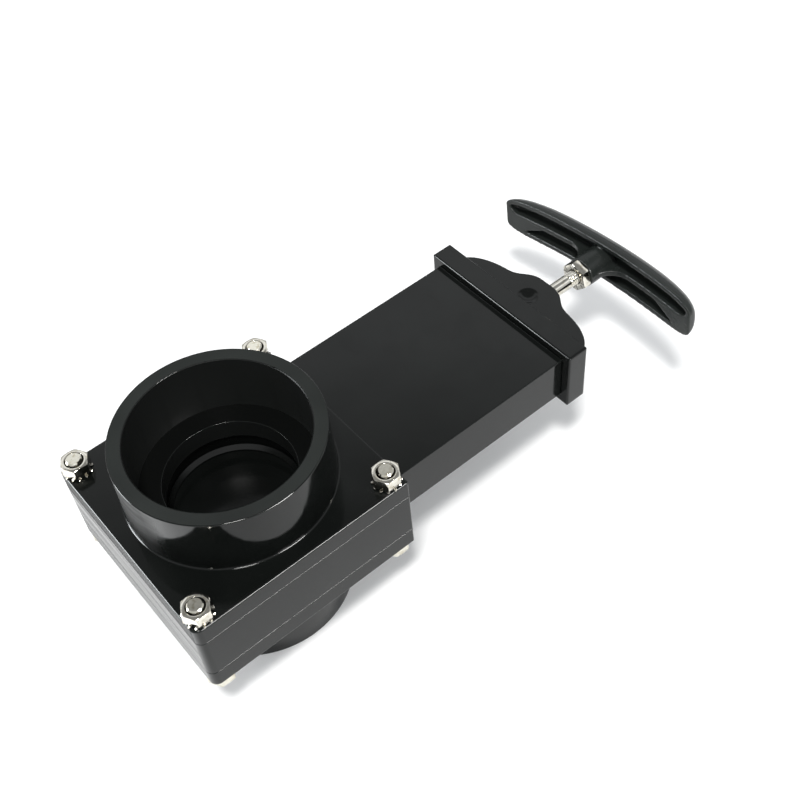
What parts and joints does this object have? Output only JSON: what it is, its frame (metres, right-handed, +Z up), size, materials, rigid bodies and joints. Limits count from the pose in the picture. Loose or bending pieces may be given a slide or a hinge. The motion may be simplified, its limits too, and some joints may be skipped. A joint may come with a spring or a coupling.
{
  "type": "pull-handle slide gate valve",
  "caption": "Hand-pulled slide gate waste valve for a motorhome's drain, with a pipe socket above and below and a T handle on its rod.",
  "frame": {"origin": "centre of the lower socket's mouth, level with the floor it stands on", "axes": "+Z up the flow axis, +X along the gate housing towards the handle, +Y to the left seen from behind the sockets"},
  "size_m": [0.3291, 0.1452, 0.119],
  "materials": {
    "housing_plastic": "glossy black ABS, injection moulded",
    "adapter_plastic": "glossy black ABS, injection moulded",
    "cap_plastic": "glossy black ABS, injection moulded",
    "handle_plastic": "glossy black ABS, injection moulded",
    "blade_plastic": "glossy black ABS, injection moulded",
    "seal_rubber": "smooth black nitrile rubber",
    "bolt_steel": "bright stainless, rolled thread ends",
    "rod_steel": "bright drawn stainless rod",
    "nut_steel": "bright stainless, fine machining marks",
    "washer_steel": "stamped stainless"
  },
  "bodies": {
    "valve": {"valve_body": "housing_plastic", "upper_adapter": "adapter_plastic", "lower_adapter": "adapter_plastic", "upper_seal": "seal_rubber", "lower_seal": "seal_rubber", "end_cap": "cap_plastic", "clamp_bolt_1": "bolt_steel", "clamp_bolt_2": "bolt_steel", "clamp_bolt_3": "bolt_steel", "clamp_bolt_4": "bolt_steel", "clamp_nut_1": "nut_steel", "clamp_nut_2": "nut_steel", "clamp_nut_3": "nut_steel", "clamp_nut_4": "nut_steel", "lock_washer_1": "washer_steel", "lock_washer_2": "washer_steel", "lock_washer_3": "washer_steel", "lock_washer_4": "washer_steel"},
    "gate": {"gate_blade": "blade_plastic", "rod_coupling": "blade_plastic", "pull_rod": "rod_steel", "lock_nut": "nut_steel", "t_handle": "handle_plastic"}
  },
  "joints": [
    {"name": "gate_slide", "type": "slide", "parent": "valve", "child": "gate", "axis": [1, 0, 0], "range_m": [0, 0.084]}
  ]
}
